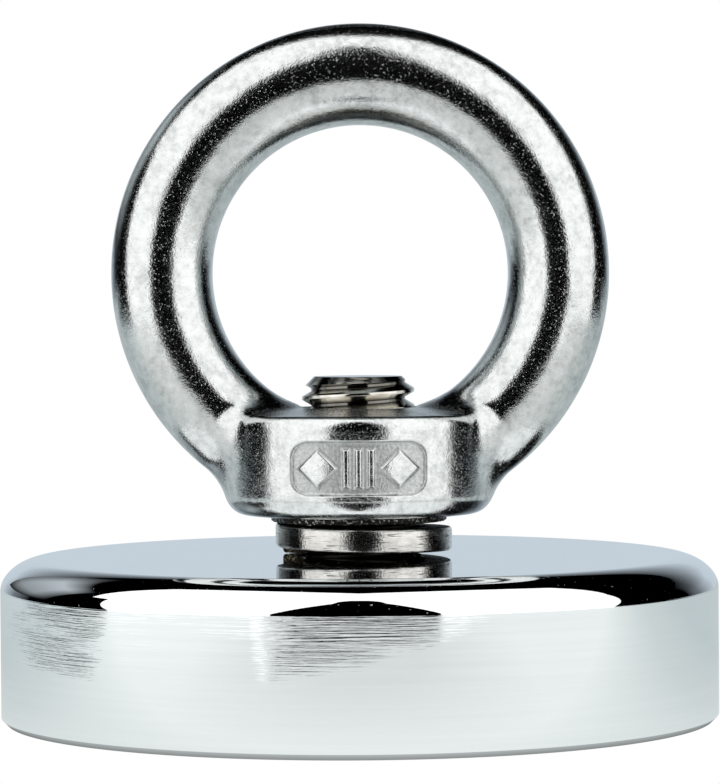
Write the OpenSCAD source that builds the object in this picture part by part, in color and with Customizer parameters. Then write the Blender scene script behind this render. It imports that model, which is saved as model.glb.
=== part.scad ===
// Magnet fishing magnet: a steel pot with a ring magnet in its face, and a lifting eye
// nut with a split lock washer on the countersunk bolt through its middle.
// Millimetres. +Z points up through the eye, and the origin is on the axis at the
// magnet face. The ring of the eye lies in the XZ plane.

/* [Pot] */
// Outer diameter of the pot
pot_d = 75; // [66:0.5:96]
// Height of the pot
pot_h = 17; // [14.5:0.5:24]
// Thickness of the pot's outer wall
pot_wall = 7.5; // [5.5:0.5:10]
// Diameter of the pole in the middle of the magnet face
pole_d = 31; // [28:0.5:34]
// Depth of the ring-shaped cavity that holds the magnet
cavity_h = 8.5; // [6:0.5:10]
// Width of the rounded shoulder, measured inwards from the wall
shoulder_w = 4.25; // [2:0.25:6]
// Height of the rounded shoulder, measured down from the top
shoulder_h = 3.25; // [2:0.25:5]
// Chamfer around the rim of the magnet face
rim_chamfer = 0.6; // [0.3:0.1:1.2]

/* [Magnet] */
// Width of the resin ring between the magnet and the pot's wall
resin_out_w = 1.5; // [0.8:0.1:2.5]
// Width of the resin ring between the magnet and the pole
resin_in_w = 1.5; // [0.8:0.1:2.5]
// Depth of the magnet and resin below the pot's rim
face_recess = 0.3; // [0.1:0.1:1]
// Thickness of the adhesive film over the magnet
bond_t = 0.2; // [0.1:0.05:0.5]

/* [Thread] */
// Nominal diameter of the screw thread
thread_d = 12; // [10:1:14]
// Pitch of the screw thread
thread_pitch = 1.75; // [1.25:0.25:2]
// Clearance between the bolt's thread and the eye nut's, across and along the axis
thread_gap = 0.12; // [0.1:0.01:0.16]

/* [Bolt] */
// Length of the bolt, head included
bolt_l = 35; // [29:0.5:42]
// Diameter of the countersunk head
head_d = 24; // [20:0.5:26]
// Height of the plain band around the head
head_land = 0.8; // [0.4:0.1:1.5]
// Depth of the head below the magnet face
head_recess = 0.75; // [0.3:0.05:1.5]
// Width across the flats of the hex socket
socket_af = 8; // [6:1:9]
// Depth of the hex socket
socket_h = 4.6; // [4:0.1:5.5]
// Width of the chamfer at the bolt's tip
tip_chamfer = 1.3; // [0.8:0.1:1.8]
// Length of thread that is hidden in the pot, below its top
thread_in = 4; // [2:0.5:6]
// Radial clearance around the bolt in the pot's hole
hole_gap = 0.5; // [0.3:0.1:1]

/* [Lock washer] */
// Outer diameter of the lock washer
washer_d = 18.5; // [17:0.5:23]
// Thickness of the lock washer
washer_t = 2.5; // [1.8:0.1:3]
// Height that one cut end stands above the other
washer_rise = 1; // [0.5:0.1:2.5]
// Direction of the cut, anticlockwise from +X
washer_cut_at = 160; // [0:1:359]
// Width of the cut, as an angle
washer_cut = 5; // [3:1:10]
// How far the washer has slipped off the bolt's axis, towards +X
washer_slip = 0.5; // [0:0.05:0.6]
// Clearance between the washer and the bolt on the side where they are nearest
washer_gap = 0.2; // [0.15:0.05:0.5]
// Break of the washer's edges
washer_edge = 0.35; // [0.2:0.05:0.5]
// Running clearance under and over the washer
seat_gap = 0.05; // [0.04:0.01:0.1]

/* [Eye nut] */
// Diameter of the low boss under the collar that bears on the washer
boss_d = 18.4; // [17:0.2:22]
// Height of the boss
boss_h = 0.8; // [0.4:0.1:1.5]
// Diameter of the collar that carries the thread
collar_d = 27.6; // [24:0.2:33]
// Height of the collar, up to its outer edge
collar_h = 10.5; // [8:0.1:13]
// Height by which the collar's top rises from its outer edge to the bore
crown_h = 0.6; // [0:0.1:1]
// Radius of the collar's lower edge
collar_low_r = 2; // [1:0.25:2.5]
// Radius of the collar's upper edge
collar_top_r = 1; // [0.5:0.25:1.5]
// Inside diameter of the ring
ring_id = 30.9; // [24:0.1:38]
// Diameter of the round bar that the ring is made of
ring_bar_d = 10.6; // [8:0.1:13]
// Depth of the ring's inside below the collar's upper edge
ring_sink = 0.8; // [0.1:0.1:1.2]

/* [Grade panel] */
// Width of the sunk panel on the front of the collar
panel_w = 13.7; // [8:0.1:16]
// Height of the panel
panel_h = 5.4; // [4:0.1:7]
// Corner radius of the panel
panel_r = 1.7; // [0.5:0.1:1.9]
// Depth of the panel
panel_depth = 0.4; // [0.2:0.05:0.6]
// How far the marks stand out of the panel's floor
mark_raise = 0.3; // [0.1:0.05:0.4]
// Height of the marks
mark_h = 3.9; // [2:0.1:4]
// Width of the upright bars between the two lozenges
mark_bar_w = 0.65; // [0.4:0.05:0.7]
// Distance of each lozenge from the middle of the panel
mark_step = 4.2; // [3.8:0.1:4.5]

/* [Hidden] */
$fn = 96;
// Length by which a cutting shape runs past the faces that it cuts
past = 1;

// Pot and magnet
pot_r = pot_d / 2;
pole_r = pole_d / 2;
cavity_r = pot_r - pot_wall;
magnet_r = cavity_r - resin_out_w;
magnet_hole_r = pole_r + resin_in_w;
magnet_top = cavity_h - bond_t;
shoulder_steps = 12;
// Exponent of the shoulder's curve: 2 is an ellipse, and less is fuller at its ends
shoulder_power = 1.85;

// Screw thread, as a 60 degree form cut off at its crests and roots
flank_slope = tan(30);
thread_h = thread_pitch * sqrt(3) / 2;
pitch_r = thread_d / 2 - 3 / 8 * thread_h;
crest_cut = 0.1;
bolt_crest_r = thread_d / 2 - crest_cut;
bolt_root_r = thread_d / 2 - 17 / 24 * thread_h;
nut_crest_r = bolt_root_r + 2 * thread_gap;
thread_sides = 32;
// The nut's flat sides come nearer than its corners by this much
thread_sag = bolt_crest_r * (1 - cos(180 / thread_sides));
nut_root_r = bolt_crest_r + thread_gap + thread_sag;
// Height of the last crest below the bolt's tip, on the +X side
crest_below_tip = 1.4;

// Bolt
head_r = head_d / 2;
shank_r = thread_d / 2 - crest_cut / 2;
head_top = head_recess + head_land + head_r - shank_r;
bolt_tip = head_recess + bolt_l;
hole_r = thread_d / 2 + hole_gap;
thread_start = pot_h - thread_in;
socket_r = socket_af / sqrt(3);

// Lock washer
washer_r = washer_d / 2;
washer_hole_r = bolt_crest_r + washer_slip + washer_gap;
washer_low = pot_h + seat_gap;
washer_steps = 60;

// Eye nut
nut_low = washer_low + washer_t + washer_rise + seat_gap;
boss_r = boss_d / 2;
boss_edge = 0.2;
collar_low = nut_low + boss_h;
collar_r = collar_d / 2;
collar_top = collar_low + collar_h;
bar_r = ring_bar_d / 2;
ring_r = ring_id / 2 + bar_r;
ring_mid = collar_top - ring_sink + ring_id / 2;
// Countersinks at the ends of the threaded bore: cones that narrow to well inside it
sink_r = nut_root_r + 0.3;
sink_tip_r = nut_crest_r / 2;
sink_h = sink_r - sink_tip_r;
// The crown is flat around the upper countersink, and slopes down from there
crown_land = 0.6;
crown_r = sink_r + crown_land;
crown_top = collar_top + crown_h;

// Grade panel
panel_mid = collar_low + collar_h / 2;
floor_r = collar_r - panel_depth;

// Ring with a square section, standing on height low
module flat_ring(outer_r, inner_r, low, high) {
  rotate_extrude()
    translate([inner_r, low]) square([outer_r - inner_r, high - low]);
}

// ---- Screw thread ----

// Width of the bolt's ridge, along the axis, at radius r
function ridge_w(r) = thread_pitch / 2 + 2 * (pitch_r - r) * flank_slope;

// Section of one ridge as [radius, height], from its lower root to its upper root
function ridge_section(root_r, crest_r, grow) = [
  [root_r, -ridge_w(root_r) / 2 - grow],
  [crest_r, -ridge_w(crest_r) / 2 - grow],
  [crest_r, ridge_w(crest_r) / 2 + grow],
  [root_r, ridge_w(root_r) / 2 + grow]];

// Solid screw whose first ridge is at height low on the +X side. Each column of points
// goes up through every turn, and the last column joins the first one turn higher.
module screw(root_r, crest_r, grow, low, turns) {
  section = ridge_section(root_r, crest_r, grow);
  k = len(section);
  rows = k * turns;
  bottom = thread_sides * rows;
  top = bottom + 1;
  points = [for (a = [0 : thread_sides - 1], t = [0 : turns - 1], p = section)
    [p[0] * cos(360 * a / thread_sides), p[0] * sin(360 * a / thread_sides),
     low + (t + a / thread_sides) * thread_pitch + p[1]]];
  ends = [[0, 0, low + thread_pitch / 2], [0, 0, low + (turns - 0.5) * thread_pitch]];
  sides = [for (a = [0 : thread_sides - 1])
    let (wraps = a == thread_sides - 1, next = wraps ? k : (a + 1) * rows)
    for (j = [0 : (wraps ? rows - k : rows) - 2])
      let (low_a = a * rows + j, low_b = next + j)
      each [[low_a, low_a + 1, low_b + 1], [low_a, low_b + 1, low_b]]];
  low_loop = concat([for (a = [0 : thread_sides - 1]) a * rows], [for (j = [k : -1 : 1]) j]);
  high_loop = concat([for (a = [1 : thread_sides]) a * rows - 1],
    [for (j = [1 : k]) thread_sides * rows - 1 - j]);
  low_fan = [for (i = [0 : len(low_loop) - 1])
    [low_loop[i], low_loop[(i + 1) % len(low_loop)], bottom]];
  high_fan = [for (i = [0 : len(high_loop) - 1])
    [high_loop[(i + 1) % len(high_loop)], high_loop[i], top]];
  polyhedron(concat(points, ends), concat(sides, low_fan, high_fan), convexity = 10);
}

// Height, on the +X side, of the first crest at or under height low
function first_crest(low) = let (last = bolt_tip - crest_below_tip)
  last - ceil((last - low) / thread_pitch + 1) * thread_pitch;

// Number of turns that take a screw from under height low to over height high
function turns_over(low, high) = ceil((high - low) / thread_pitch) + 4;

// ---- Pot and magnet ----

// Points of the shoulder from the wall to the flat top, as [radius, height]
function shoulder() = [for (i = [0 : shoulder_steps]) let (a = 90 * i / shoulder_steps)
  [pot_r - shoulder_w * (1 - pow(cos(a), 2 / shoulder_power)),
   pot_h - shoulder_h * (1 - pow(sin(a), 2 / shoulder_power))]];

// Outer shape of the bolt's head, also used to cut its seat
module head_profile(drop) {
  polygon([[0, -drop], [head_r, -drop], [head_r, head_recess + head_land],
    [shank_r, head_top], [0, head_top]]);
}

module pot_shell() {
  color("lightsteelblue") difference() {
    rotate_extrude() polygon(concat(
      [[0, 0], [pot_r - rim_chamfer, 0], [pot_r, rim_chamfer]], shoulder(), [[0, pot_h]]));
    flat_ring(cavity_r, pole_r, -past, cavity_h);
    rotate_extrude() head_profile(past);
    cylinder(h = pot_h + past, r = hole_r);
  }
}

module ring_magnet() {
  color("silver") flat_ring(magnet_r, magnet_hole_r, face_recess, magnet_top);
}

module magnet_bond_film() {
  color("khaki") flat_ring(magnet_r, magnet_hole_r, magnet_top, cavity_h);
}

module outer_resin_ring() {
  color("dimgray") flat_ring(cavity_r, magnet_r, face_recess, cavity_h);
}

module inner_resin_ring() {
  color("dimgray") flat_ring(magnet_hole_r, pole_r, face_recess, cavity_h);
}

// ---- Bolt and lock washer ----

module countersunk_bolt() {
  run_in = thread_start - past;
  color("lightgray") union() {
    difference() {
      union() {
        rotate_extrude() translate([0, head_recess]) square([head_r, head_land]);
        translate([0, 0, head_recess + head_land])
          cylinder(h = head_r - shank_r, r1 = head_r, r2 = shank_r);
        translate([0, 0, head_top]) cylinder(h = thread_start - head_top, r = shank_r);
      }
      translate([0, 0, head_recess - past])
        cylinder(h = socket_h + past, r = socket_r, $fn = 6);
    }
    intersection() {
      screw(bolt_root_r, bolt_crest_r, 0, first_crest(run_in), turns_over(run_in, bolt_tip));
      rotate_extrude() polygon([[0, run_in], [thread_d, run_in],
        [thread_d, bolt_tip - tip_chamfer - thread_d + bolt_crest_r],
        [bolt_crest_r - tip_chamfer, bolt_tip], [0, bolt_tip]]);
    }
  }
}

// Section of the washer as [radius, height above its lower face], with broken edges
function washer_section() = let (e = washer_edge) [
  [washer_hole_r + e, 0], [washer_r - e, 0], [washer_r, e], [washer_r, washer_t - e],
  [washer_r - e, washer_t], [washer_hole_r + e, washer_t],
  [washer_hole_r, washer_t - e], [washer_hole_r, e]];

// The washer climbs clockwise, seen from above, from one side of its cut to the other
module lock_washer() {
  section = washer_section();
  k = len(section);
  points = [for (i = [0 : washer_steps], p = section)
    let (part = i / washer_steps, a = washer_cut_at - washer_cut / 2 - (360 - washer_cut) * part)
    [washer_slip + p[0] * cos(a), p[0] * sin(a),
     washer_low + washer_rise * part + p[1]]];
  sides = [for (i = [0 : washer_steps - 1], j = [0 : k - 1])
    let (a = i * k + j, b = i * k + (j + 1) % k)
    each [[a, b, b + k], [a, b + k, a + k]]];
  low_end = [for (j = [k - 1 : -1 : 0]) j];
  high_end = [for (j = [0 : k - 1]) washer_steps * k + j];
  color("gray") polyhedron(points, concat(sides, [low_end, high_end]), convexity = 4);
}

// ---- Eye nut ----

module boss() {
  rotate_extrude() polygon([[0, nut_low], [boss_r - boss_edge, nut_low],
    [boss_r, nut_low + boss_edge], [boss_r, collar_low + past], [0, collar_low + past]]);
}

module collar() {
  rotate_extrude() {
    translate([0, collar_low + collar_low_r])
      square([collar_r, collar_h - collar_low_r - collar_top_r]);
    polygon([[0, collar_low], [collar_r - collar_low_r, collar_low],
      [collar_r - collar_top_r, collar_top], [crown_r, crown_top], [0, crown_top]]);
    translate([collar_r - collar_low_r, collar_low + collar_low_r]) circle(collar_low_r);
    translate([collar_r - collar_top_r, collar_top - collar_top_r]) circle(collar_top_r);
  }
}

module ring() {
  translate([0, 0, ring_mid]) rotate([90, 0, 0])
    rotate_extrude() translate([ring_r, 0]) circle(bar_r);
}

// Part of the collar's front, between two radii, that lies behind a flat outline
module on_front(low_r, high_r) {
  intersection() {
    translate([0, 0, panel_mid]) rotate([90, 0, 0]) linear_extrude(2 * collar_r) children();
    translate([0, 0, collar_low]) difference() {
      cylinder(h = collar_h, r = high_r);
      translate([0, 0, -past]) cylinder(h = collar_h + 2 * past, r = low_r);
    }
  }
}

module panel_outline() {
  flat_w = panel_w - 2 * panel_r;
  flat_h = panel_h - 2 * panel_r;
  square([panel_w, flat_h], center = true);
  square([flat_w, panel_h], center = true);
  for (x = [-1, 1], y = [-1, 1])
    translate([x * flat_w / 2, y * flat_h / 2]) circle(panel_r);
}

// A lozenge at each side and three upright bars between them
module marks_outline() {
  for (x = [-1, 1]) translate([x * mark_step, 0])
    rotate(45) square(mark_h / sqrt(2), center = true);
  for (x = [-1 : 1]) translate([x * 2 * mark_bar_w, 0])
    square([mark_bar_w, mark_h], center = true);
}

module eye_nut() {
  bore_low = nut_low - 2 * thread_pitch;
  bore_high = crown_top + thread_pitch;
  color("gainsboro") union() {
    difference() {
      union() {
        difference() {
          union() {
            collar();
            ring();
          }
          translate([0, 0, collar_low - ring_bar_d])
            cylinder(h = ring_bar_d, r = 2 * collar_r);
        }
        boss();
      }
      screw(nut_crest_r, nut_root_r, thread_gap, first_crest(bore_low),
        turns_over(bore_low, bore_high));
      translate([0, 0, nut_low - past]) cylinder(h = past, r = sink_r);
      translate([0, 0, nut_low]) cylinder(h = sink_h, r1 = sink_r, r2 = sink_tip_r);
      translate([0, 0, crown_top - sink_h])
        cylinder(h = sink_h, r1 = sink_tip_r, r2 = sink_r);
      on_front(floor_r, collar_r + past) panel_outline();
    }
    on_front(floor_r - panel_depth, floor_r + mark_raise) marks_outline();
  }
}

pot_shell();
ring_magnet();
magnet_bond_film();
outer_resin_ring();
inner_resin_ring();
countersunk_bolt();
lock_washer();
eye_nut();
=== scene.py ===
import math

import bmesh
import bpy
import numpy as np
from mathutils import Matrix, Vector


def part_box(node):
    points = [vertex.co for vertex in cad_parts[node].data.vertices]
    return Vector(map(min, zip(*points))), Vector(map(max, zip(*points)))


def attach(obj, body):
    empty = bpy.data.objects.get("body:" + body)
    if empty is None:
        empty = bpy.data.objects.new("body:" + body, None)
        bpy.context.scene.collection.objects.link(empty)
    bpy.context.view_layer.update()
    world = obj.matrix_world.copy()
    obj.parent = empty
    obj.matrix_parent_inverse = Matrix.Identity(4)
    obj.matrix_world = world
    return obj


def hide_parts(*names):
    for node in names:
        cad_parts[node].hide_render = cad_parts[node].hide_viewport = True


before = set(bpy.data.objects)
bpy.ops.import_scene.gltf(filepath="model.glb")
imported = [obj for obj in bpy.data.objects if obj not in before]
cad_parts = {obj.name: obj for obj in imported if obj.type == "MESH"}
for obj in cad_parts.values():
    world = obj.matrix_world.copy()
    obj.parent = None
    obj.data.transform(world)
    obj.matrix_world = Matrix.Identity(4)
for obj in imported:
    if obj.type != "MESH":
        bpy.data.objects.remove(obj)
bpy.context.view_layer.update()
mm = 0.001
weld = 2e-6  # points closer than this, in metres, are merged
print("frame loaded:", len(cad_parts), "nodes")


def span(node):
    # the node's lowest and highest corners, in millimetres
    low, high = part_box(node)
    return low / mm, high / mm


potHigh = span("pot_shell")[1]
magnetLow, magnetHigh = span("ring_magnet")
outerResinLow, outerResinHigh = span("outer_resin_ring")
innerResinLow, innerResinHigh = span("inner_resin_ring")
boltLow, boltHigh = span("countersunk_bolt")
washerLow, washerHigh = span("lock_washer")
eyeLow, eyeHigh = span("eye_nut")


def pick(obj):
    bpy.ops.object.select_all(action="DESELECT")
    obj.select_set(True)
    bpy.context.view_layer.objects.active = obj
    return obj


def made(name):
    obj = bpy.context.active_object
    obj.name = name
    obj.data.name = name
    return obj


def settleTransform(obj):
    pick(obj)
    bpy.ops.object.transform_apply(location=True, rotation=True, scale=True)
    return obj


def addModifier(obj, kind, **values):
    pick(obj)
    mod = obj.modifiers.new(kind.lower(), kind)
    for key, value in values.items():
        setattr(mod, key, value)
    bpy.ops.object.modifier_apply(modifier=mod.name)
    return obj


def combine(obj, tool, how):
    addModifier(obj, "BOOLEAN", operation=how, solver="EXACT", object=tool)
    bpy.data.objects.remove(tool)
    return obj


def smoothByAngle(obj, degrees):
    pick(obj)
    bpy.ops.object.shade_smooth_by_angle(angle=math.radians(degrees))
    return obj


def chain(name, points, closed):
    # a wire of straight edges in the XZ plane; points are (radius, height) in millimetres
    count = len(points)
    edges = [(i, (i + 1) % count) for i in range(count if closed else count - 1)]
    mesh = bpy.data.meshes.new(name)
    mesh.from_pydata([(r * mm, 0, z * mm) for r, z in points], edges, [])
    obj = bpy.data.objects.new(name, mesh)
    bpy.context.scene.collection.objects.link(obj)
    return pick(obj)


def turned(name, outline, steps, closed=True):
    # spins an outline round the Z axis, as on a lathe
    obj = chain(name, outline, closed)
    bpy.ops.object.mode_set(mode="EDIT")
    bpy.ops.mesh.select_all(action="SELECT")
    bpy.ops.mesh.spin(steps=steps, angle=math.tau, center=(0, 0, 0), axis=(0, 0, 1))
    bpy.ops.mesh.select_all(action="SELECT")
    bpy.ops.mesh.remove_doubles(threshold=weld)
    bpy.ops.mesh.normals_make_consistent(inside=False)
    bpy.ops.object.mode_set(mode="OBJECT")
    return obj


def fanEnds(obj):
    # closes both open ends of a screw with a fan of faces round a point on the axis
    bm = bmesh.new()
    bm.from_mesh(obj.data)
    bmesh.ops.remove_doubles(bm, verts=bm.verts, dist=weld)
    rim = [e for e in bm.edges if e.is_boundary]
    middle = sum(v.co.z for v in bm.verts) / len(bm.verts)
    for above in (False, True):
        loop = [e for e in rim if (e.verts[0].co.z > middle) == above]
        height = sum(e.verts[0].co.z + e.verts[1].co.z for e in loop) / (2 * len(loop))
        centre = bm.verts.new((0, 0, height))
        for edge in loop:
            bm.faces.new((*edge.verts, centre))
    bmesh.ops.recalc_face_normals(bm, faces=bm.faces)
    bm.to_mesh(obj.data)
    bm.free()
    return obj


# the camera's place is in metres, its lens in millimetres and its turns in degrees
cameraSet = {
    "place": (0.0, -0.3863, 0.04375),
    "lens": 169.4,
    "sensor": 36,
    "clip": (0.01, 20),
    "pitch": -1.433,
    "yaw": -0.039,
    "roll": 0.385,
}


def makeCamera(s):
    data = bpy.data.cameras.new("studioCamera")
    data.lens = s["lens"]
    data.sensor_width = s["sensor"]
    data.clip_start, data.clip_end = s["clip"]
    cam = bpy.data.objects.new("studioCamera", data)
    bpy.context.scene.collection.objects.link(cam)
    cam.location = s["place"]
    cam.rotation_euler = (
        math.radians(90 + s["pitch"]), math.radians(s["roll"]), math.radians(s["yaw"]))
    bpy.context.scene.camera = cam


makeCamera(cameraSet)
bpy.context.scene.view_settings.view_transform = "Standard"
print("camera placed")


class Nodes:
    # builds one node material step by step
    def __init__(self, name):
        self.mat = bpy.data.materials.new(name)
        self.mat.use_nodes = True
        self.tree = self.mat.node_tree
        self.shader = self.tree.nodes["Principled BSDF"]
        self.coords = self.add("ShaderNodeTexCoord").outputs["Object"]

    def add(self, kind, **values):
        node = self.tree.nodes.new(kind)
        for key, value in values.items():
            if key.startswith("_"):
                setattr(node, key[1:], value)
            else:
                self.feed(node.inputs[key.replace("__", " ")], value)
        return node

    def feed(self, socket, value):
        if isinstance(value, bpy.types.NodeSocket):
            self.tree.links.new(value, socket)
        else:
            socket.default_value = value

    def stretch(self, scale, place=(0, 0, 0)):
        # coordinates packed closer along one axis, for lines that run across it
        node = self.add("ShaderNodeMapping", Vector=self.coords, Scale=scale, Location=place)
        return node.outputs["Vector"]

    def noise(self, vector, scale, detail=2.0, rough=0.5):
        node = self.add("ShaderNodeTexNoise", Vector=vector, Scale=scale, Detail=detail,
                        Roughness=rough)
        return node.outputs["Fac"]

    def ramp(self, fac, stops):
        # stops are (place from 0 to 1, colour)
        node = self.add("ShaderNodeValToRGB", Fac=fac)
        marks = node.color_ramp.elements
        for i, (at, colour) in enumerate(stops):
            mark = marks[i] if i < 2 else marks.new(at)
            mark.position = at
            mark.color = (*colour, 1) if len(colour) == 3 else colour
        return node.outputs["Color"]

    def mapTo(self, fac, low, high, start=0.0, end=1.0):
        node = self.add("ShaderNodeMapRange", Value=fac)
        for key, value in (("From Min", low), ("From Max", high), ("To Min", start),
                           ("To Max", end)):
            node.inputs[key].default_value = value
        return node.outputs["Result"]

    def math(self, how, a, b):
        node = self.add("ShaderNodeMath", _operation=how)
        self.feed(node.inputs[0], a)
        self.feed(node.inputs[1], b)
        return node.outputs[0]

    def bump(self, height, distance, strength, under=None):
        node = self.add("ShaderNodeBump", Height=height, Distance=distance, Strength=strength)
        if under:
            self.feed(node.inputs["Normal"], under)
        return node.outputs["Normal"]

    def finish(self, **values):
        for key, value in values.items():
            self.feed(self.shader.inputs[key.replace("__", " ")], value)
        return self.mat


def grey(v):
    return (v, v, v)


def mirrorNickel():
    # bright nickel on the top and shoulder: nearly flawless, with a faint wave and dust
    n = Nodes("mirrorNickel")
    wave = n.noise(n.coords, 120, 2)
    dust = n.mapTo(n.noise(n.coords, 2600, 1), 0.70, 0.78)
    rough = n.mapTo(dust, 0, 1, 0.025, 0.30)
    tint = n.ramp(n.noise(n.coords, 60, 2), [(0.3, (0.80, 0.82, 0.84)), (0.7, (0.84, 0.85, 0.86))])
    normal = n.bump(wave, 0.00002, 0.25)
    return n.finish(Base__Color=tint, Metallic=1.0, Roughness=rough, Normal=normal)


def turnedNickel():
    # the wall: fine turning lines round it, under a bright plate
    n = Nodes("turnedNickel")
    fine = n.noise(n.stretch((110, 110, 5600)), 1.0, 3, 0.6)
    coarse = n.noise(n.stretch((30, 30, 1500)), 1.0, 2, 0.5)
    place = n.add("ShaderNodeSeparateXYZ", Vector=n.coords).outputs
    # the lines are deep in two patches high up on the wall, and faint everywhere else
    lifted = n.math("SUBTRACT", place["Z"], n.math("MULTIPLY", place["X"], 0.16))
    outer = potHigh.x * mm
    side = n.ramp(n.mapTo(place["X"], -outer, outer), [
        (0.0, grey(0.5)), (0.14, grey(0.6)), (0.17, grey(0.1)), (0.36, grey(0.1)),
        (0.38, grey(1.0)), (0.50, grey(0.9)), (0.68, grey(0.03))])
    worn = n.math("MULTIPLY", side, n.mapTo(lifted, 0.0080, 0.0135, 0.02, 1.0))
    patch = n.mapTo(n.noise(n.stretch((90, 90, 420)), 1.0, 2), 0.35, 0.6, 0.3, 1.0)
    deep = n.math("MULTIPLY", fine, n.math("MULTIPLY", worn, patch))
    rough = n.mapTo(coarse, 0.3, 0.7, 0.04, 0.08)
    tint = n.ramp(coarse, [(0.3, (0.89, 0.92, 0.92)), (0.7, (0.92, 0.95, 0.95))])
    normal = n.bump(deep, 0.00009, 0.8)
    return n.finish(Base__Color=tint, Metallic=1.0, Roughness=rough, Normal=normal)


def groundNickel():
    # the magnet face: ground flat, then plated
    n = Nodes("groundNickel")
    grain = n.noise(n.stretch((900, 60, 60)), 1.0, 3)
    scuffs = n.noise(n.coords, 300, 4)
    rough = n.mapTo(scuffs, 0.3, 0.7, 0.18, 0.36)
    tint = n.ramp(scuffs, [(0.3, (0.70, 0.70, 0.69)), (0.7, (0.80, 0.80, 0.79))])
    return n.finish(Base__Color=tint, Metallic=1.0, Roughness=rough,
                    Normal=n.bump(grain, 0.00003, 0.4))


def castSkin(name, dull):
    # the eye nut: a tumbled casting with fine pits and bright grains
    n = Nodes(name)
    grain = n.noise(n.coords, 5200, 2, 0.6)
    lumps = n.noise(n.coords, 420, 3, 0.55)
    pits = n.mapTo(n.noise(n.coords, 4800, 1, 0.5), 0.66, 0.76)
    rough = n.math("ADD", n.mapTo(grain, 0.35, 0.65, dull, dull + 0.08),
                   n.math("MULTIPLY", pits, 0.12))
    smear = n.noise(n.coords, 1300, 4, 0.65)
    tone = n.math("ADD", n.math("MULTIPLY", lumps, 0.45), n.math("MULTIPLY", smear, 0.55))
    tint = n.ramp(tone, [(0.36, (0.48, 0.50, 0.49)), (0.50, (0.64, 0.66, 0.65)),
                         (0.64, (0.74, 0.76, 0.75))])
    soft = n.bump(lumps, 0.00012, 0.35)
    fine = n.bump(grain, 0.00004, 0.40, soft)
    normal = n.bump(n.math("SUBTRACT", 1.0, pits), 0.00005, 0.25, fine)
    return n.finish(Base__Color=tint, Metallic=1.0, Roughness=rough, Normal=normal)


def castStainless():
    return castSkin("castStainless", 0.09)


def castTop():
    # the collar's top, which is only roughly finished
    return castSkin("castTop", 0.22)


def castFloor():
    # the sunk panel's floor, which the polishing wheel did not reach
    n = Nodes("castFloor")
    grain = n.noise(n.coords, 3800, 3, 0.6)
    tint = n.ramp(grain, [(0.35, (0.46, 0.48, 0.47)), (0.65, (0.66, 0.68, 0.67))])
    return n.finish(Base__Color=tint, Metallic=1.0, Roughness=0.42,
                    Normal=n.bump(grain, 0.00008, 0.8))


def castShadeAndGrit():
    # the boss under the collar: near-black painted shade, as it lies in the collar's shadow, with
    # grit and bright grains in it
    n = Nodes("castShadeAndGrit")
    grit = n.noise(n.coords, 2600, 3, 0.6)
    tint = n.ramp(grit, [(0.0, (0.010, 0.011, 0.009)), (0.56, (0.020, 0.021, 0.018)),
                         (0.66, (0.50, 0.50, 0.47))])
    rough = n.mapTo(grit, 0.5, 0.7, 0.45, 0.25)
    return n.finish(Base__Color=tint, Metallic=1.0, Roughness=rough,
                    Normal=n.bump(grit, 0.0002, 0.9))


def threadSteel():
    # the bolt: rolled thread, bright, with a faint warm tint
    n = Nodes("threadSteel")
    lines = n.noise(n.stretch((500, 500, 2600)), 1.0, 2)
    stain = n.noise(n.coords, 500, 3)
    bright = n.ramp(stain, [(0.35, (0.58, 0.55, 0.48)), (0.65, (0.80, 0.78, 0.73))])
    place = n.add("ShaderNodeSeparateXYZ", Vector=n.coords).outputs
    flat = n.add("ShaderNodeCombineXYZ", X=place["X"], Y=place["Y"])
    out = n.add("ShaderNodeVectorMath", _operation="LENGTH")
    n.feed(out.inputs[0], flat.outputs[0])
    # painted shade: the roots of the thread darker, and a near-black band where the washer and the
    # collar shade the bolt
    shadedRoots = n.mapTo(out.outputs["Value"], 0.00555, 0.00500, 0.0, 0.75)
    shadedBand = n.math("MULTIPLY", n.mapTo(place["Z"], 0.0230, 0.0215, 0.0, 0.97),
                  n.mapTo(place["Z"], 0.0150, 0.0165))
    threaded = n.math("MULTIPLY", shadedRoots, n.mapTo(place["Z"], 0.0150, 0.0165))
    mix = n.add("ShaderNodeMix", _data_type="RGBA")
    n.feed(mix.inputs[0], n.math("MAXIMUM", shadedBand, threaded))
    n.feed(mix.inputs[6], bright)
    # near-black colour of the painted shade
    n.feed(mix.inputs[7], (0.022, 0.021, 0.017, 1))
    rough = n.math("ADD", n.mapTo(lines, 0.3, 0.7, 0.06, 0.14), n.math("MULTIPLY", shadedBand, 0.4))
    return n.finish(Base__Color=mix.outputs[2], Metallic=1.0, Roughness=rough,
                    Normal=n.bump(lines, 0.00003, 0.5))


def springSteel():
    # the lock washer's rim: drawn wire, with lines running round it
    n = Nodes("springSteel")
    lines = n.noise(n.stretch((420, 420, 5200)), 1.0, 3, 0.65)
    scratches = n.mapTo(n.noise(n.stretch((500, 500, 9000), (3, 1, 2)), 1.0, 1), 0.62, 0.70)
    cloud = n.noise(n.coords, 700, 2)
    tint = n.add("ShaderNodeMix", _data_type="RGBA")
    n.feed(tint.inputs[0], scratches)
    n.feed(tint.inputs[6], n.ramp(cloud, [(0.35, (0.50, 0.49, 0.46)), (0.65, (0.66, 0.65, 0.62))]))
    n.feed(tint.inputs[7], (0.10, 0.095, 0.08, 1))
    return n.finish(Base__Color=tint.outputs[2], Metallic=1.0,
                    Roughness=n.mapTo(cloud, 0.3, 0.7, 0.08, 0.13),
                    Normal=n.bump(n.noise(n.coords, 4200, 2, 0.6), 0.00004, 0.5,
                                  n.bump(lines, 0.00006, 0.7)))


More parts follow.
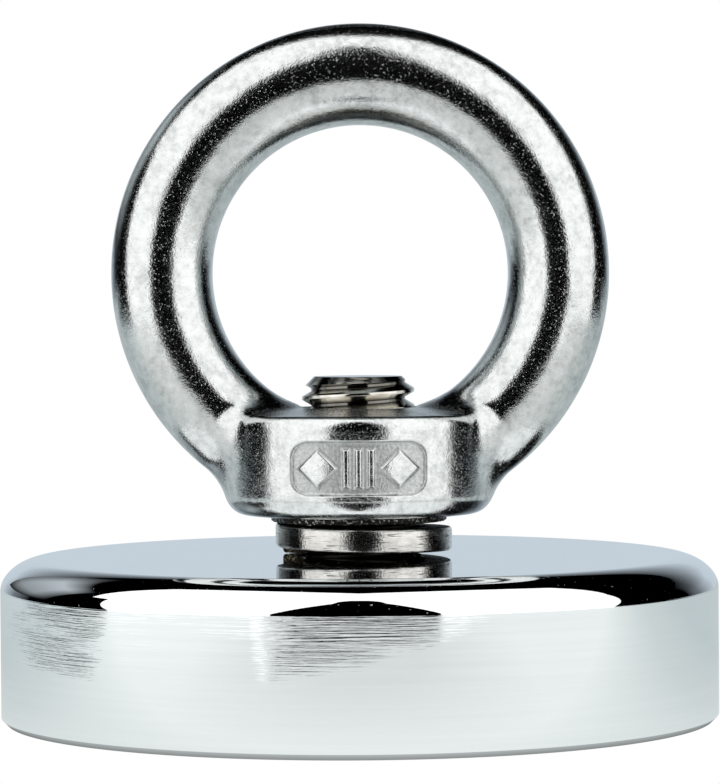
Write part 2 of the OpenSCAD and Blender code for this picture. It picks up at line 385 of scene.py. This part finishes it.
def springShadeAndGrime():
    # the washer's upper and lower sides and corners: near-black painted shade between the collar and
    # the pot, with a brown stain and grit in it
    n = Nodes("springShadeAndGrime")
    grit = n.noise(n.coords, 3000, 3, 0.6)
    tint = n.ramp(grit, [(0.0, (0.012, 0.011, 0.008)), (0.56, (0.034, 0.029, 0.020)),
                         (0.68, (0.34, 0.32, 0.26))])
    return n.finish(Base__Color=tint, Metallic=1.0, Roughness=n.mapTo(grit, 0.5, 0.7, 0.6, 0.3),
                    Normal=n.bump(grit, 0.0001, 0.8))


def magnetPlating():
    # nickel over sintered magnet: satin, faintly yellow, with a fine orange-peel
    n = Nodes("magnetPlating")
    peel = n.noise(n.coords, 1500, 2)
    cloud = n.noise(n.coords, 140, 3)
    tint = n.ramp(cloud, [(0.3, (0.62, 0.60, 0.55)), (0.7, (0.74, 0.72, 0.67))])
    return n.finish(Base__Color=tint, Metallic=1.0, Roughness=n.mapTo(cloud, 0.3, 0.7, 0.26, 0.4),
                    Normal=n.bump(peel, 0.00003, 0.4))


def castResin():
    # black potting resin, glossy with a slightly rippled face and dust
    n = Nodes("castResin")
    ripple = n.noise(n.coords, 260, 2)
    dust = n.mapTo(n.noise(n.coords, 3000, 1), 0.66, 0.74)
    tint = n.ramp(dust, [(0.0, (0.012, 0.012, 0.014)), (1.0, (0.07, 0.07, 0.07))])
    return n.finish(Base__Color=tint, Roughness=n.mapTo(dust, 0, 1, 0.22, 0.5),
                    Normal=n.bump(ripple, 0.0001, 0.4))


def bondEpoxy():
    # the film of cured adhesive behind the magnet
    n = Nodes("bondEpoxy")
    cloud = n.noise(n.coords, 200, 3)
    tint = n.ramp(cloud, [(0.3, (0.42, 0.36, 0.22)), (0.7, (0.52, 0.46, 0.30))])
    return n.finish(Base__Color=tint, Roughness=n.mapTo(cloud, 0.3, 0.7, 0.35, 0.5))


finishes = {f.__name__: f() for f in (
    mirrorNickel, turnedNickel, groundNickel, castStainless, castTop, castFloor, castShadeAndGrit,
    threadSteel, springSteel, springShadeAndGrime, magnetPlating, castResin, bondEpoxy)}
print("finishes mixed:", len(finishes))


def paint(obj, names, chooser=None):
    # chooser gives the index of a face's finish from its centre and normal, in millimetres
    obj.data.materials.clear()
    for name in names:
        obj.data.materials.append(finishes[name])
    for face in obj.data.polygons:
        face.material_index = chooser(face.center / mm, face.normal) if chooser else 0


# from here on each piece's sizes are in millimetres
innerResinWide = 1.5
potSet = {
    "poleRadius": -innerResinLow.x - innerResinWide,
    "cavityTop": outerResinHigh.z,
    "headMouth": boltHigh.x,
    "headLand": boltLow.z + 0.8,
    "holeRadius": 6.5,
    "shoulderWide": 4.25,
    "shoulderHigh": 3.25,
    "shoulderPower": 1.85,
    "shoulderSteps": 28,
    "rimChamfer": 0.6,
    "hold": 0.12,
    "steps": 288,
}


def shoulderPoints(s, outer, top):
    # a quarter of a superellipse, from the wall up to the top
    points = []
    for i in range(s["shoulderSteps"] + 1):
        a = math.pi / 2 * i / s["shoulderSteps"]
        run = 1 - max(math.cos(a), 0) ** (2 / s["shoulderPower"])
        drop = 1 - math.sin(a) ** (2 / s["shoulderPower"])
        points.append((outer - s["shoulderWide"] * run, top - s["shoulderHigh"] * drop))
    return points


def makePot(s):
    outer, top = potHigh.x, potHigh.z
    cavity = outerResinHigh.x
    coneFoot = s["headLand"] + s["headMouth"] - s["holeRadius"]
    hold = s["hold"]  # short faces beside the edges keep the shading of the long ones flat
    outline = [(s["headMouth"], 0), (s["poleRadius"], 0), (s["poleRadius"], s["cavityTop"]),
               (cavity, s["cavityTop"]), (cavity, 0), (outer - s["rimChamfer"], 0),
               (outer, s["rimChamfer"]), (outer, s["rimChamfer"] + hold),
               (outer, top - s["shoulderHigh"] - hold)]
    outline += shoulderPoints(s, outer, top)
    outline += [(outer - s["shoulderWide"] - hold, top), (s["holeRadius"] + hold, top),
                (s["holeRadius"], top - hold), (s["holeRadius"], coneFoot),
                (s["headMouth"], s["headLand"])]
    pot = turned("potShell", outline, s["steps"])
    smoothByAngle(pot, 30)
    wallTop = top - s["shoulderHigh"]

    def finishOf(centre, normal):
        if centre.z > wallTop:
            return 0
        facesDown = normal.z <= -0.9
        return 2 if facesDown or centre.xy.length <= cavity + 1 else 1

    paint(pot, ["mirrorNickel", "turnedNickel", "groundNickel"], finishOf)
    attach(pot, "pot")
    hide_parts("pot_shell")


makePot(potSet)
print("pot turned")


magnetSet = {
    "chamfer": 0.35,
    "dish": 0.25,
    "dishSteps": 8,
    "steps": 192,
}


def makeMagnet(s):
    outer, inner, c = magnetHigh.x, innerResinHigh.x, s["chamfer"]
    low, high = magnetLow.z, magnetHigh.z
    magnet = turned("ringMagnet", [
        (inner + c, low), (outer - c, low), (outer, low + c), (outer, high - c),
        (outer - c, high), (inner + c, high), (inner, high - c), (inner, low + c)], s["steps"])
    smoothByAngle(magnet, 30)
    paint(magnet, ["magnetPlating"])
    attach(magnet, "pot")
    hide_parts("ring_magnet")


def makeResin(name, node, inner, outer, low, high, s):
    # the face of the resin dishes in between the steel and the magnet
    parts = s["dishSteps"]
    face = [(inner + (outer - inner) * i / parts,
             low + s["dish"] * math.sin(math.pi * i / parts)) for i in range(parts + 1)]
    resin = turned(name, face + [(outer, high), (inner, high)], s["steps"])
    smoothByAngle(resin, 40)
    paint(resin, ["castResin"])
    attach(resin, "pot")
    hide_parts(node)


makeMagnet(magnetSet)
makeResin("outerResin", "outer_resin_ring", magnetHigh.x, outerResinHigh.x,
          outerResinLow.z, outerResinHigh.z, magnetSet)
makeResin("innerResin", "inner_resin_ring", potSet["poleRadius"], innerResinHigh.x,
          innerResinLow.z, innerResinHigh.z, magnetSet)
paint(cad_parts["magnet_bond_film"], ["bondEpoxy"])
print("magnet and resin set")


# the M12 thread that the bolt and the eye nut share
threadSet = {
    "diameter": 12.0,
    "pitch": 1.75,
    "crestCut": 0.1,
    "crestRound": 0.07,
    "gap": 0.13,
    "lastCrestDown": 1.4,
    "steps": 96,
}


def crestRadius(s):
    return s["diameter"] / 2 - s["crestCut"]


def coreRadius(s):
    # 17/24 of the height of the thread's sharp triangle below the crest
    return s["diameter"] / 2 - 17 / 24 * s["pitch"] * math.sqrt(3) / 2


def ridgeOutline(s, core, crest, grow):
    # one pitch of the thread as (radius, height), from root to root
    pitchRadius = s["diameter"] / 2 - 3 / 8 * s["pitch"] * math.sqrt(3) / 2

    def half(radius):
        return s["pitch"] / 4 + (pitchRadius - radius) * math.tan(math.radians(30)) + grow

    e = s["crestRound"]
    side = [(core, s["pitch"] / 2), (core, half(core) + e / 2), (core + e, half(core + e)),
            (crest - e, half(crest - e)), (crest - e / 4, half(crest - e / 4) - e / 4),
            (crest, half(crest) - e)]
    return [(r, -z) for r, z in side] + [(crest, 0)] + [(r, z) for r, z in reversed(side)]


def makeScrew(name, s, core, crest, grow, low, high):
    # every screw is in step with the last crest below the bolt's tip, so the threads mate
    last = boltHigh.z - s["lastCrestDown"]
    turns = math.ceil((high - low) / s["pitch"]) + 3
    first = last - (math.ceil((last - low) / s["pitch"]) + 1) * s["pitch"]
    outline = [(r, first + z) for r, z in ridgeOutline(s, core, crest, grow)]
    screw = chain(name, outline, False)
    addModifier(screw, "SCREW", axis="Z", angle=math.tau, screw_offset=s["pitch"] * mm,
                iterations=turns, steps=s["steps"], render_steps=s["steps"],
                use_merge_vertices=False)
    return fanEnds(screw)


boltSet = {
    "headLand": 0.8,
    "headGap": 0.1,
    "edge": 0.25,
    "shankRadius": 5.95,
    "threadFrom": 12.0,
    "shankOver": 1.2,
    "neckOver": 2.2,
    "neckIn": 0.3,
    "blankRadius": 7,
    "tipChamfer": 1.3,
    "socketAcross": 8.0,
    "socketDeep": 4.6,
    "socketChamfer": 0.45,
    "drillIn": 0.3,
    "drillDeep": 1.6,
    "steps": 192,
    "tipSteps": 96,
}


def cutSocket(body, s):
    # an 8 mm hex with a drilled point behind it and a chamfered mouth
    low, past, sunk = boltLow.z, 1, 0.01
    corner = s["socketAcross"] / math.sqrt(3)
    bpy.ops.mesh.primitive_cylinder_add(
        vertices=6, radius=corner * mm, depth=(s["socketDeep"] + past) * mm,
        location=(0, 0, (low + (s["socketDeep"] - past) / 2) * mm), rotation=(0, 0, math.pi / 6))
    combine(body, settleTransform(made("hexKey")), "DIFFERENCE")
    flat, deep = s["socketAcross"] / 2 - s["drillIn"], s["drillDeep"]
    bpy.ops.mesh.primitive_cone_add(
        vertices=48, radius1=flat * mm, radius2=0, depth=deep * mm,
        location=(0, 0, (low + s["socketDeep"] + deep / 2 - 2 * sunk) * mm))
    combine(body, settleTransform(made("drillPoint")), "DIFFERENCE")
    wide = corner + s["socketChamfer"]
    bpy.ops.mesh.primitive_cone_add(
        vertices=64, radius1=wide * mm, radius2=0, depth=wide * mm,
        location=(0, 0, (low + wide / 2 - sunk) * mm))
    combine(body, settleTransform(made("mouthChamfer")), "DIFFERENCE")


def makeBolt(s, t):
    crest, core = crestRadius(t), coreRadius(t)
    low, tip = boltLow.z, boltHigh.z
    head = boltHigh.x - s["headGap"]
    coneTop = low + s["headLand"] + head - s["shankRadius"]
    e, start = s["edge"], s["threadFrom"]
    body = turned("countersunkBolt", [
        (0, low), (head - e, low), (head, low + e), (head, low + s["headLand"]),
        (s["shankRadius"], coneTop), (s["shankRadius"], start + s["shankOver"]),
        (core - s["neckIn"], start + s["neckOver"]), (0, start + s["neckOver"])],
        s["steps"], False)
    # the screw runs long, and a blank with a chamfered tip cuts it to length
    screw = makeScrew("screw", t, core, crest, 0, start, tip)
    wide = s["blankRadius"]
    blank = turned("blank", [
        (0, start), (wide, start), (wide, tip - s["tipChamfer"] - wide + crest),
        (crest - s["tipChamfer"], tip), (0, tip)], s["tipSteps"], False)
    combine(screw, blank, "INTERSECT")
    combine(body, screw, "UNION")
    cutSocket(body, s)
    smoothByAngle(body, 32)
    paint(body, ["threadSteel"])
    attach(body, "pot")
    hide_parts("countersunk_bolt")


makeBolt(boltSet, threadSet)
print("bolt threaded")


washerSet = {
    "hole": 6.6,
    "thick": 2.5,
    "corner": 0.4,
    "cornerSteps": 5,
    "cutAt": 160,
    "cutWide": 5,
    "steps": 180,
}


def wireOutline(s, outer, low):
    # the section of the washer's wire: a rectangle with rounded corners
    c = s["corner"]
    middle = ((outer + s["hole"]) / 2, low + s["thick"] / 2)
    halfWide, halfHigh = (outer - s["hole"]) / 2 - c, s["thick"] / 2 - c
    outline = []
    for quarter, (out, up) in enumerate(((1, 1), (-1, 1), (-1, -1), (1, -1))):
        for i in range(s["cornerSteps"] + 1):
            a = math.pi / 2 * (quarter + i / s["cornerSteps"])
            outline.append((middle[0] + out * halfWide + c * math.cos(a),
                            middle[1] + up * halfHigh + c * math.sin(a)))
    return outline


def makeWasher(s):
    outer, slip = washerHigh.y, (washerLow.x + washerHigh.x) / 2 * mm
    low, rise = washerLow.z, washerHigh.z - washerLow.z - s["thick"]
    washer = chain("lockWasher", wireOutline(s, outer, low), True)
    # the outline is carried round and up as the side wall, and a face closes each end
    turn = math.radians(360 - s["cutWide"])
    start = math.radians(s["cutAt"] - s["cutWide"] / 2)
    bm = bmesh.new()
    bm.from_mesh(washer.data)
    rings = []
    base = [v.co.copy() for v in bm.verts]
    count = len(base)
    bm.clear()
    for i in range(s["steps"] + 1):
        part = i / s["steps"]
        angle = start - turn * part
        rings.append([bm.verts.new((slip + p.x * math.cos(angle), p.x * math.sin(angle),
                                    p.z + rise * mm * part)) for p in base])
    for a, b in zip(rings, rings[1:]):
        for j in range(count):
            bm.faces.new((a[j], a[(j + 1) % count], b[(j + 1) % count], b[j]))
    bm.faces.new(rings[0])
    bm.faces.new(list(reversed(rings[-1])))
    bmesh.ops.recalc_face_normals(bm, faces=bm.faces)
    bm.to_mesh(washer.data)
    bm.free()
    smoothByAngle(washer, 50)

    def finishOf(centre, normal):
        rim = (centre - Vector((slip / mm, 0, centre.z))).length > outer - 0.6 * s["corner"]
        # faces off the outer rim get the painted shade
        return 0 if rim and abs(normal.z) < 0.75 else 1

    paint(washer, ["springSteel", "springShadeAndGrime"], finishOf)
    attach(washer, "lock_washer")
    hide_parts("lock_washer")


makeWasher(washerSet)
print("lock washer coiled")


eyeSet = {
    "barRadius": 5.3,
    "bossRadius": 9.2,
    "bossHigh": 0.8,
    "bossSunk": 1,
    "bossEdge": 0.25,
    "collarRadius": 13.8,
    "collarTop": 31.9,
    "crown": 0.6,
    "crownFlat": 6.95,
    "crownEdge": 1,
    "ringSlip": 0.3,
    "lowEdge": 2.0,
    "topEdge": 1.1,
    "fillet": 2.2,
    "boreFillet": 0.3,
    "filletFrom": 5,
    "filletRun": 4,
    "mouthOver": 0.3,
    "voxel": 0.36,
    "panelWide": 13.7,
    "panelHigh": 5.4,
    "panelCorner": 1.7,
    "panelDeep": 0.4,
    "panelRim": 0.7,
    "markRaise": 0.3,
    "markHigh": 3.9,
    "markBar": 0.65,
    "markStep": 4.2,
    "soft": 0.14,
}


def step(x, wide):
    # 1 inside (x below zero), 0 outside, with a soft edge
    return np.clip(0.5 - x / (2 * wide), 0, 1)


def panelShape(x, z, s):
    # how far the collar's front is pushed in at each point, in millimetres
    z = z - (eyeLow.z + s["bossHigh"] + s["collarTop"]) / 2
    c = s["panelCorner"]
    dx = np.abs(x) - (s["panelWide"] / 2 - c)
    dz = np.abs(z) - (s["panelHigh"] / 2 - c)
    panel = np.hypot(np.maximum(dx, 0), np.maximum(dz, 0)) + np.minimum(np.maximum(dx, dz), 0) - c
    # a lozenge at each side and three bars between them
    marks = (np.abs(np.abs(x) - s["markStep"]) + np.abs(z) - s["markHigh"] / 2) / math.sqrt(2)
    for place in (-2, 0, 2):
        bar = np.maximum(np.abs(x - place * s["markBar"]) - s["markBar"] / 2,
                         np.abs(z) - s["markHigh"] / 2)
        marks = np.minimum(marks, bar)
    return s["panelDeep"] * step(panel, s["soft"]) - s["markRaise"] * step(marks, s["soft"])


def roundEdge(a, b, r):
    # distance to what lies inside both a and b, with their edge rounded
    return np.hypot(np.maximum(a + r, 0), np.maximum(b + r, 0)) \
        + np.minimum(np.maximum(a, b) + r, 0) - r


def castShape(p, s):
    # signed distance to the casting: ring and collar, joined by a fillet
    x, y, z = p[:, 0], p[:, 1], p[:, 2]
    collarLow = eyeLow.z + s["bossHigh"]
    ringMiddle = eyeHigh.z - eyeHigh.x
    ringRadius = eyeHigh.x - s["barRadius"]
    ring = np.hypot(np.hypot(x - s["ringSlip"], z - ringMiddle) - ringRadius, y) \
        - s["barRadius"]
    push = np.where(y < 0, panelShape(x, z, s), 0)
    rho = np.hypot(x, y)
    slope = np.clip((rho - s["crownFlat"]) / (s["collarRadius"] - s["crownEdge"] - s["crownFlat"]),
                    0, 1)
    side = rho - s["collarRadius"] + push
    collar = np.maximum(
        roundEdge(side, z - s["collarTop"] - s["crown"] * (1 - slope), s["topEdge"]),
        roundEdge(side, collarLow - z, s["lowEdge"]))
    # the fillet is full at the ring's flanks and runs out towards the bore
    least = s["boreFillet"]
    r = least + (s["fillet"] - least) * np.clip((np.abs(x) - s["filletFrom"]) / s["filletRun"], 0, 1)
    joined = np.maximum(r, np.minimum(ring, collar)) \
        - np.hypot(np.maximum(r - ring, 0), np.maximum(r - collar, 0))
    boss = np.maximum(roundEdge(rho - s["bossRadius"], eyeLow.z - z, s["bossEdge"]),
                      z - collarLow - s["bossSunk"])
    return np.minimum(np.maximum(joined, collarLow - z), boss)


def settleOnCast(obj, s, rounds):
    # moves each point along the slope of castShape until it lies on the casting's surface
    count = len(obj.data.vertices)
    co = np.empty(count * 3)
    obj.data.vertices.foreach_get("co", co)
    p = co.reshape(-1, 3) / mm
    nudge, longest, gentlest = 0.01, 0.4, 0.25
    for _ in range(rounds):
        value = castShape(p, s)
        slope = np.stack([(castShape(p + way, s) - castShape(p - way, s)) / (2 * nudge)
                          for way in nudge * np.eye(3)], axis=1)
        size = np.maximum((slope ** 2).sum(axis=1), gentlest)
        p = p - np.clip(value / size, -longest, longest)[:, None] * slope
    obj.data.vertices.foreach_set("co", (p * mm).ravel())
    obj.data.update()


def roughCasting(s, low, collarLow, top):
    # ring, collar and boss as one mesh of even faces, near the casting's surface
    ringMiddle = eyeHigh.z - eyeHigh.x
    bpy.ops.mesh.primitive_torus_add(
        major_segments=192, minor_segments=64, major_radius=(eyeHigh.x - s["barRadius"]) * mm,
        minor_radius=s["barRadius"] * mm, location=(s["ringSlip"] * mm, 0, ringMiddle * mm),
        rotation=(math.pi / 2, 0, 0))
    nut = settleTransform(made("eyeNut"))
    drums = []
    for name, radius, foot, head in (
            ("collar", s["collarRadius"], collarLow, top),
            ("boss", s["bossRadius"], low, collarLow + s["bossSunk"])):
        bpy.ops.mesh.primitive_cylinder_add(
            vertices=128, radius=radius * mm, depth=(head - foot) * mm,
            location=(0, 0, (foot + head) / 2 * mm))
        drums.append(settleTransform(made(name)))
    pick(nut)
    for drum in drums:
        drum.select_set(True)
    bpy.ops.object.join()
    addModifier(nut, "REMESH", mode="VOXEL", voxel_size=s["voxel"] * mm, adaptivity=0)
    return nut


def refinePanel(nut, s, middle, reach):
    # finer faces where the panel and its marks are
    skin = 0.8

    def onPanel(face):
        at = face.calc_center_median() / mm
        return (at.y < 0 and abs(at.x) < reach[0] and abs(at.z - middle) < reach[1]
                and at.xy.length > s["collarRadius"] - skin)

    bm = bmesh.new()
    bm.from_mesh(nut.data)
    for _ in range(2):
        near = [e for e in bm.edges if any(onPanel(f) for f in e.link_faces)]
        bmesh.ops.subdivide_edges(bm, edges=near, cuts=1, use_grid_fill=True)
    bm.to_mesh(nut.data)
    bm.free()


def tapBore(nut, s, t, low, top):
    # the tap and the countersinks at its two ends are one cutter
    crest, core = crestRadius(t) + t["gap"], coreRadius(t) + 2 * t["gap"]
    runOut, past = 3, 4
    cutter = makeScrew("tap", t, core, crest, t["gap"], low - runOut, top + runOut)
    mouth, point = crest + s["mouthOver"], core / 2
    deep = mouth - point
    sink = turned("sink", [(0, low - past), (mouth, low - past), (mouth, low),
                           (point, low + deep), (point, top - deep), (mouth, top),
                           (mouth, top + past), (0, top + past)], 96, False)
    combine(cutter, sink, "UNION")
    combine(nut, cutter, "DIFFERENCE")


def makeEyeNut(s, t):
    low, collarLow, top = eyeLow.z, eyeLow.z + s["bossHigh"], s["collarTop"] + s["crown"]
    middle = (collarLow + s["collarTop"]) / 2
    reach = (s["panelWide"] / 2 + s["panelRim"], s["panelHigh"] / 2 + s["panelRim"])
    nut = roughCasting(s, low, collarLow, top)
    settleOnCast(nut, s, 3)
    refinePanel(nut, s, middle, reach)
    settleOnCast(nut, s, 6)
    tapBore(nut, s, t, low, top)
    smoothByAngle(nut, 60)

    def finishOf(centre, normal):
        out = centre.xy.length
        # the boss under the collar gets the painted shade
        if centre.z < collarLow + 0.02 and out < s["bossRadius"] + 0.4:
            return 2
        if centre.z > s["collarTop"] - 0.1 and normal.z > 0.9 and out < s["collarRadius"] - 1.2:
            return 3
        front = centre.y < 0 and abs(centre.x) < reach[0] and abs(centre.z - middle) < reach[1]
        return 1 if front and 12 < out < s["collarRadius"] - 0.24 else 0

    paint(nut, ["castStainless", "castFloor", "castShadeAndGrit", "castTop"], finishOf)
    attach(nut, "eye_nut")
    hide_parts("eye_nut")


makeEyeNut(eyeSet, threadSet)
print("eye nut cast")


# all in metres: light boxes and cards that only the metal sees, and white paper for the camera
studioSet = {
    "paper": 1.0,
    "backdropGlow": (0.58, 0.661, 0.73),
    "boxGlow": 1.4,
    "side": 0.62,
    "front": 0.45,
    "high": 0.65,
    "foot": -0.15,
    "overheadWide": 1.0,
    "overheadBack": [(-1.0, 0.26), (-0.31, 0.26), (0, 0.01), (0.35, 0.22), (1.0, 0.1)],
    "overheadNotch": [(0.09, -0.45), (0.06, -0.34), (0.025, -0.29)],
    "leftBack": -0.075,
    "rightBack": -0.06,
    "highBack": 0.13,
    "frontInner": ((-0.225, -1), (0.20, 1)),
    "frontTop": 0.09,
    "frontBend": 0.08,
    "fill": [(-0.62, 0.30, 0.10), (-0.28, 0.64, 0.10), (-0.24, 0.60, 0.52), (-0.58, 0.26, 0.52)],
    "backdrop": [(-0.8, 0.6, 0), (0.85, 0.6, 0), (0.85, 0.6, 0.40), (-0.8, 0.6, 0.40)],
    "table": [(-0.25, -0.22), (0.25, -0.22), (0.25, 0.21), (0.6, 0.21), (0.6, 0.6),
              (-0.6, 0.6), (-0.6, 0.21), (-0.25, 0.21)],
    "tableHigh": -0.0005,
    "paperHigh": -0.001,
    "far": 4.0,
}


def glowing(n, colour, strength=1.0):
    # turns the material into a plain light of this colour
    light = n.add("ShaderNodeEmission", Color=colour, Strength=strength)
    out = n.tree.nodes["Material Output"]
    n.tree.nodes.remove(n.shader)
    n.tree.links.new(light.outputs[0], out.inputs["Surface"])
    return n.mat


def glow(name, strength):
    return glowing(Nodes(name), (*grey(1.0), 1), strength)


def fade(n, axis, marks):
    # brightness along one axis: marks are (distance in metres, brightness or colour)
    place = n.add("ShaderNodeSeparateXYZ", Vector=n.coords).outputs[axis]
    low, high = marks[0][0], marks[-1][0]
    stops = [((at - low) / (high - low), v if isinstance(v, tuple) else grey(v))
             for at, v in marks]
    return n.ramp(n.mapTo(place, low, high), stops)


def times(n, a, b):
    mix = n.add("ShaderNodeMix", _data_type="RGBA", _blend_type="MULTIPLY")
    n.feed(mix.inputs[0], 1.0)
    n.feed(mix.inputs[6], a)
    n.feed(mix.inputs[7], b)
    return mix.outputs[2]


def away(n, point, near, far, dim):
    # dim up to the distance near from the point, and full from the distance far on
    reach = n.add("ShaderNodeVectorMath", _operation="DISTANCE")
    n.feed(reach.inputs[0], n.coords)
    n.feed(reach.inputs[1], point)
    return n.ramp(n.mapTo(reach.outputs["Value"], near, far), [(0, grey(dim)), (1, grey(1))])


def backdropCard(s):
    # the bluish wall behind, which the pot's top mirrors
    n = Nodes("backdropCard")
    across = fade(n, "X", [(-0.8, 0.0), (-0.5, 0.3), (-0.25, 1.0), (0.3, 1.0), (0.6, 0.3),
                           (0.85, 0.0)])
    up = fade(n, "Z", [(0.0, 1.0), (0.14, 1.0), (0.26, 0.5), (0.40, 0.08)])
    return glowing(n, times(n, times(n, across, up), (*s["backdropGlow"], 1)))


def tableCard():
    # painted light on the table the metal mirrors: brighter in front and on the left, with a painted
    # shadow under the pot itself
    n = Nodes("tableCard")
    along = fade(n, "Y", [(-0.05, (0.90, 0.92, 0.92)), (-0.0164, (0.74, 0.78, 0.78)),
                          (0.01, (0.64, 0.69, 0.70)), (0.07, (0.54, 0.60, 0.62))])
    # a painted shadow dims the paper in front of the pot
    lit = times(n, along, away(n, (0.0, -0.16, 0.0), 0.05, 0.12, 0.83))
    lit = times(n, lit, fade(n, "X", [(-0.18, 1.1), (-0.06, 1.0)]))
    # the painted shadow under the pot
    return glowing(n, times(n, lit, away(n, (0.0, 0.0, 0.0), 0.0368, 0.0382, 0.3)))


def fillCard():
    # a dim card behind on the left, which the pot's top mirrors when it is seen from above
    n = Nodes("fillCard")
    up = fade(n, "Z", [(0.10, 0.0), (0.20, 0.36), (0.40, 0.62), (0.52, 0.0)])
    across = fade(n, "X", [(-0.62, 0.0), (-0.50, 1.0), (-0.36, 1.0), (-0.24, 0.0)])
    return glowing(n, times(n, times(n, across, up), (0.86, 0.95, 1.0, 1)))


def showTo(obj, camera):
    # a piece of the studio is seen either by the camera or by everything else
    obj.visible_camera = camera
    obj.visible_glossy = not camera
    obj.visible_diffuse = not camera
    obj.visible_transmission = not camera


def card(name, corners, mat, camera=False):
    mesh = bpy.data.meshes.new(name)
    mesh.from_pydata(corners, [], [tuple(range(len(corners)))])
    obj = bpy.data.objects.new(name, mesh)
    bpy.context.scene.collection.objects.link(obj)
    obj.data.materials.append(mat)
    showTo(obj, camera)


def makeBoxes(s):
    # one box overhead, with a notch for the camera's stand, one at each side, two in front
    boxes = glow("softbox", s["boxGlow"])
    w, f, h, foot, over = s["side"], s["front"], s["high"], s["foot"], s["overheadWide"]
    notch = s["overheadNotch"]
    outline = s["overheadBack"] + [(over, -f)] + notch
    outline += [(-x, y) for x, y in reversed(notch)] + [(-over, -f)]
    card("overheadBox", [(x, y, h) for x, y in outline], boxes)
    for name, x, back in (("leftBox", -w, s["leftBack"]), ("rightBox", w, s["rightBack"])):
        card(name, [(x, back, foot), (x, back, 0), (x, s["highBack"], h), (x, -f, h),
                    (x, -f, foot)], boxes)
    for inner, side in s["frontInner"]:
        card("frontBox", [(inner, -f, foot), (side * w, -f, foot), (side * w, -f, h),
                          (side * s["frontTop"], -f, h), (inner, -f, s["frontBend"])], boxes)


def makeStudio(s):
    world = bpy.data.worlds.new("darkRoom")
    bpy.context.scene.world = world
    world.use_nodes = True
    world.node_tree.nodes["Background"].inputs["Color"].default_value = (0.0, 0.0, 0.0, 1)
    makeBoxes(s)
    card("fillCard", s["fill"], fillCard())
    card("backdrop", s["backdrop"], backdropCard(s))
    card("table", [(x, y, s["tableHigh"]) for x, y in s["table"]], tableCard())
    paper = glow("paper", s["paper"])
    far = s["far"]
    corners = ((-far, -far), (far, -far), (far, far), (-far, far))
    card("floorPaper", [(x, y, s["paperHigh"]) for x, y in corners], paper, True)
    bpy.ops.mesh.primitive_uv_sphere_add(segments=32, ring_count=16, radius=far)
    dome = made("paperDome")
    dome.data.materials.append(paper)
    showTo(dome, True)


makeStudio(studioSet)
print("studio lit")
